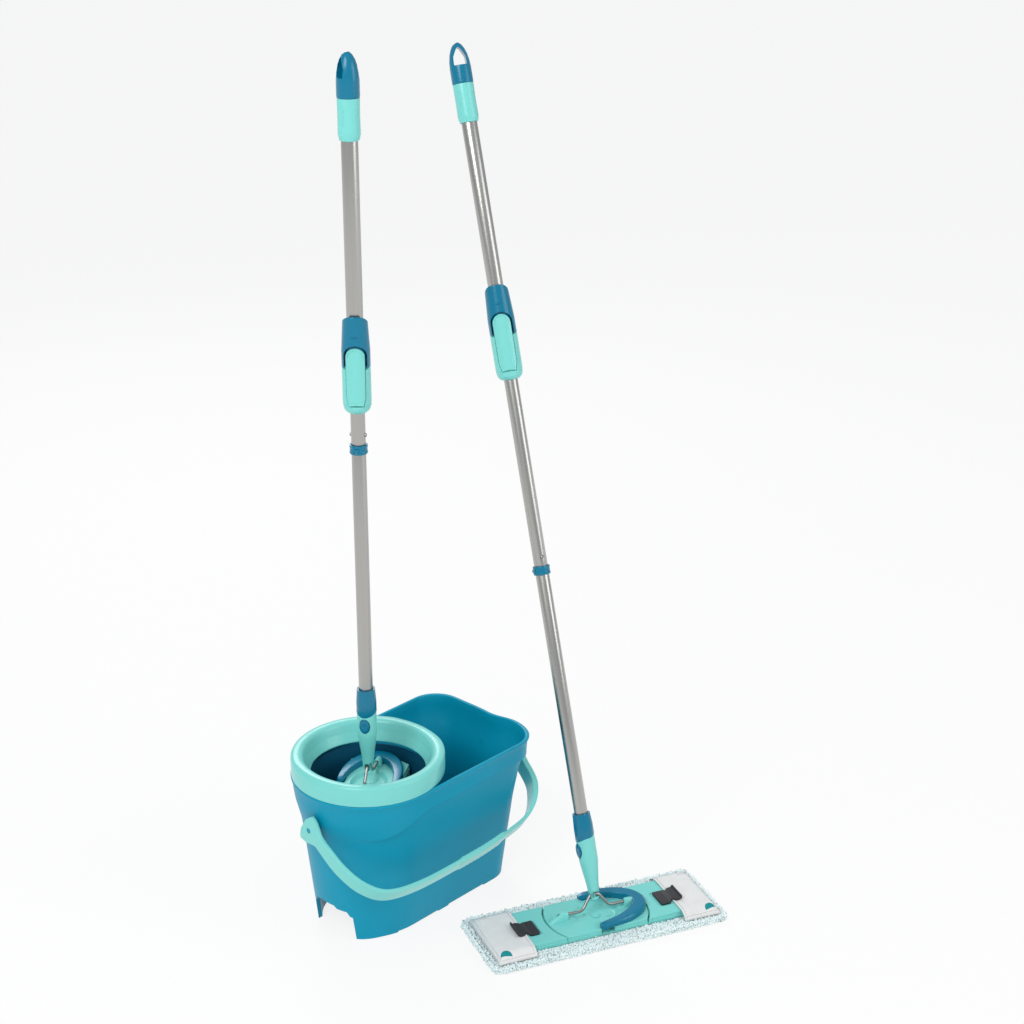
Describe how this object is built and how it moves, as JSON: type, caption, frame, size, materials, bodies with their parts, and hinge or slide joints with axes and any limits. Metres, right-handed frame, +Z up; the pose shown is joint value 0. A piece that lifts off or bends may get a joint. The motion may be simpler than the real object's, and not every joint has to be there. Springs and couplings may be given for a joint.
{
  "type": "spin mop",
  "caption": "Oval mop bucket with a spin basket under a round collar, a folded flat mop standing in the basket, and the same mop open on the floor with its fringed pad.",
  "frame": {"origin": "centre of the footprint's bounding box on the floor", "axes": "+X along the bucket from its basket end to its open end, +Y to the bucket's far side, +Z up"},
  "size_m": [0.5656, 0.579, 1.393],
  "materials": {
    "tank_plastic": "satin moulded",
    "pale_plastic": "semi-gloss moulded",
    "deep_plastic": "semi-gloss moulded",
    "basket_plastic": "satin moulded",
    "tube_steel": "drawn and lacquered",
    "wire_steel": "plated wire",
    "latch_rubber": "matt moulded",
    "pad_fabric": "microfibre pile",
    "bush_nylon": "natural nylon"
  },
  "bodies": {
    "bucket": {"tank": "tank_plastic", "collar": "pale_plastic", "spindle": "tube_steel"},
    "basket": {"basket": "basket_plastic"},
    "bail": {"bail": "pale_plastic"},
    "basket_head": {"basket_head_plate": "pale_plastic", "basket_wing_pin_left": "wire_steel", "basket_wing_pin_right": "wire_steel"},
    "basket_wing_left_leaf": {"basket_wing_left": "pale_plastic"},
    "basket_latch_left_clip": {"basket_latch_left": "latch_rubber"},
    "basket_wing_right_leaf": {"basket_wing_right": "pale_plastic"},
    "basket_latch_right_clip": {"basket_latch_right": "latch_rubber"},
    "basket_loop": {"basket_lift_loop": "deep_plastic"},
    "basket_yoke": {"basket_yoke_wire": "wire_steel"},
    "basket_pole": {"basket_socket_body": "pale_plastic", "basket_socket_sleeve": "deep_plastic", "basket_foot_tube": "tube_steel", "basket_stop_ring": "deep_plastic", "basket_middle_tube": "tube_steel", "basket_drive_nut": "bush_nylon"},
    "basket_socket_release": {"basket_socket_button": "deep_plastic"},
    "basket_snap_left": {"basket_snap_button_left": "wire_steel"},
    "basket_snap_right": {"basket_snap_button_right": "wire_steel"},
    "basket_bush": {"basket_guide_bush": "bush_nylon"},
    "basket_handle": {"basket_clamp_lower_shell": "pale_plastic", "basket_clamp_upper_shell": "deep_plastic", "basket_upper_tube": "tube_steel", "basket_twist_rod": "wire_steel", "basket_grip_sleeve": "pale_plastic", "basket_hang_cap": "deep_plastic"},
    "basket_lever": {"basket_clamp_lever": "pale_plastic"},
    "floor_head": {"floor_head_plate": "pale_plastic", "floor_wing_pin_left": "wire_steel", "floor_wing_pin_right": "wire_steel", "pad_centre": "pad_fabric"},
    "floor_wing_left_leaf": {"floor_wing_left": "pale_plastic", "pad_left": "pad_fabric"},
    "floor_latch_left_clip": {"floor_latch_left": "latch_rubber"},
    "floor_wing_right_leaf": {"floor_wing_right": "pale_plastic", "pad_right": "pad_fabric"},
    "floor_latch_right_clip": {"floor_latch_right": "latch_rubber"},
    "floor_loop": {"floor_lift_loop": "deep_plastic"},
    "floor_yoke": {"floor_yoke_wire": "wire_steel"},
    "floor_pole": {"floor_socket_body": "pale_plastic", "floor_socket_sleeve": "deep_plastic", "floor_foot_tube": "tube_steel", "floor_stop_ring": "deep_plastic", "floor_middle_tube": "tube_steel", "floor_drive_nut": "bush_nylon"},
    "floor_socket_release": {"floor_socket_button": "deep_plastic"},
    "floor_snap_left": {"floor_snap_button_left": "wire_steel"},
    "floor_snap_right": {"floor_snap_button_right": "wire_steel"},
    "floor_bush": {"floor_guide_bush": "bush_nylon"},
    "floor_handle": {"floor_clamp_lower_shell": "pale_plastic", "floor_clamp_upper_shell": "deep_plastic", "floor_upper_tube": "tube_steel", "floor_twist_rod": "wire_steel", "floor_grip_sleeve": "pale_plastic", "floor_hang_cap": "deep_plastic"},
    "floor_lever": {"floor_clamp_lever": "pale_plastic"}
  },
  "joints": [
    {"name": "basket_spin", "type": "hinge", "parent": "bucket", "child": "basket", "pos_m": [-0.15012, 0.16216, 0.079], "axis": [0, 0, 1], "continuous": true},
    {"name": "bail_swing", "type": "hinge", "parent": "bucket", "child": "bail", "pos_m": [-0.15012, 0.16216, 0.205], "axis": [-1, 0, 0], "range_deg": [0, 105]},
    {"name": "basket_mop_lift", "type": "slide", "parent": "basket", "child": "basket_head", "axis": [0, 0, 1], "range_m": [0, 0.32]},
    {"name": "basket_wing_left_fold", "type": "hinge", "parent": "basket_head", "child": "basket_wing_left_leaf", "pos_m": [-0.20675, 0.12827, 0.229], "axis": [0.5135, -0.8581, 0], "range_deg": [0, 18]},
    {"name": "basket_latch_left_open", "type": "hinge", "parent": "basket_wing_left_leaf", "child": "basket_latch_left_clip", "pos_m": [-0.21283, 0.12463, 0.18657], "axis": [-0.5135, 0.8581, 0], "range_deg": [0, 3]},
    {"name": "basket_wing_right_fold", "type": "hinge", "parent": "basket_head", "child": "basket_wing_right_leaf", "pos_m": [-0.09348, 0.19606, 0.229], "axis": [-0.5135, 0.8581, 0], "range_deg": [0, 18]},
    {"name": "basket_latch_right_open", "type": "hinge", "parent": "basket_wing_right_leaf", "child": "basket_latch_right_clip", "pos_m": [-0.0874, 0.1997, 0.18657], "axis": [0.5135, -0.8581, 0], "range_deg": [0, 3]},
    {"name": "basket_loop_raise", "type": "hinge", "parent": "basket_head", "child": "basket_loop", "pos_m": [-0.15012, 0.16216, 0.238], "axis": [0.5135, -0.8581, 0], "range_deg": [0, 50]},
    {"name": "basket_yoke_tilt", "type": "hinge", "parent": "basket_head", "child": "basket_yoke", "pos_m": [-0.15012, 0.16216, 0.247], "axis": [-0.8581, -0.5135, 0], "range_deg": [-15, 15]},
    {"name": "basket_socket_tilt", "type": "hinge", "parent": "basket_yoke", "child": "basket_pole", "pos_m": [-0.15012, 0.16216, 0.269], "axis": [-0.5135, 0.8581, 0], "range_deg": [-7, 7]},
    {"name": "basket_socket_button_press", "type": "slide", "parent": "basket_pole", "child": "basket_socket_release", "axis": [0.8581, 0.5135, 0], "range_m": [0, 0.0015], "stiffness_N_per_m": 400},
    {"name": "basket_snap_left_press", "type": "slide", "parent": "basket_pole", "child": "basket_snap_left", "axis": [0.5135, -0.8581, 0], "range_m": [0, 0.0022], "stiffness_N_per_m": 400},
    {"name": "basket_snap_right_press", "type": "slide", "parent": "basket_pole", "child": "basket_snap_right", "axis": [-0.5135, 0.8581, 0], "range_m": [0, 0.0022], "stiffness_N_per_m": 400},
    {"name": "basket_pump", "type": "slide", "parent": "basket_pole", "child": "basket_bush", "axis": [0, 0, 1], "range_m": [-0.03, 0.245]},
    {"name": "basket_twist", "type": "hinge", "parent": "basket_bush", "child": "basket_handle", "pos_m": [-0.15012, 0.16216, 0.864], "axis": [0, 0, 1], "range_deg": [-91, 736]},
    {"name": "basket_lever_open", "type": "hinge", "parent": "basket_handle", "child": "basket_lever", "pos_m": [-0.16425, 0.14902, 0.878], "axis": [0.6807, -0.7325, 0], "range_deg": [0, 30]},
    {"name": "floor_mop_glide", "type": "slide", "parent": "bucket", "child": "floor_head", "axis": [-0.421, -0.907, 0], "range_m": [0, 0.3]},
    {"name": "floor_wing_left_fold", "type": "hinge", "parent": "floor_head", "child": "floor_wing_left_leaf", "pos_m": [0.00702, -0.10705, 0.012], "axis": [-0.421, -0.907, 0], "range_deg": [0, 93]},
    {"name": "floor_latch_left_open", "type": "hinge", "parent": "floor_wing_left_leaf", "child": "floor_latch_left_clip", "pos_m": [-0.03108, -0.08937, 0.0213], "axis": [0.421, 0.907, 0], "range_deg": [0, 85]},
    {"name": "floor_wing_right_fold", "type": "hinge", "parent": "floor_head", "child": "floor_wing_right_leaf", "pos_m": [0.12675, -0.16263, 0.012], "axis": [0.421, 0.907, 0], "range_deg": [0, 93]},
    {"name": "floor_latch_right_open", "type": "hinge", "parent": "floor_wing_right_leaf", "child": "floor_latch_right_clip", "pos_m": [0.16484, -0.18031, 0.0213], "axis": [-0.421, -0.907, 0], "range_deg": [0, 85]},
    {"name": "floor_loop_raise", "type": "hinge", "parent": "floor_head", "child": "floor_loop", "pos_m": [0.06688, -0.13484, 0.021], "axis": [-0.421, -0.907, 0], "range_deg": [0, 50]},
    {"name": "floor_yoke_tilt", "type": "hinge", "parent": "floor_head", "child": "floor_yoke", "pos_m": [0.06688, -0.13484, 0.03], "axis": [-0.907, 0.421, 0], "range_deg": [-78, 6]},
    {"name": "floor_socket_tilt", "type": "hinge", "parent": "floor_yoke", "child": "floor_pole", "pos_m": [0.06975, -0.12867, 0.05092], "axis": [0.4004, 0.8627, -0.309], "range_deg": [-7, 7]},
    {"name": "floor_socket_button_press", "type": "slide", "parent": "floor_pole", "child": "floor_socket_release", "axis": [0.912, -0.4079, 0.0431], "range_m": [0, 0.0015], "stiffness_N_per_m": 400},
    {"name": "floor_snap_left_press", "type": "slide", "parent": "floor_pole", "child": "floor_snap_left", "axis": [-0.4004, -0.8627, 0.309], "range_m": [0, 0.0022], "stiffness_N_per_m": 400},
    {"name": "floor_snap_right_press", "type": "slide", "parent": "floor_pole", "child": "floor_snap_right", "axis": [0.4004, 0.8627, -0.309], "range_m": [0, 0.0022], "stiffness_N_per_m": 400},
    {"name": "floor_pump", "type": "slide", "parent": "floor_pole", "child": "floor_bush", "axis": [0.0888, 0.2991, 0.9501], "range_m": [-0.279, 0]},
    {"name": "floor_twist", "type": "hinge", "parent": "floor_bush", "child": "floor_handle", "pos_m": [0.14472, 0.12377, 0.85279], "axis": [0.0888, 0.2991, 0.9501], "range_deg": [-838, 1]},
    {"name": "floor_lever_open", "type": "hinge", "parent": "floor_handle", "child": "floor_lever", "pos_m": [0.1322, 0.11547, 0.87131], "axis": [0.6956, -0.7013, 0.1558], "range_deg": [0, 30]}
  ],
  "couplings": [
    {"joint": "basket_twist", "follows": "basket_pump", "rad_per_m": 52.36},
    {"joint": "floor_twist", "follows": "floor_pump", "rad_per_m": 52.36}
  ]
}
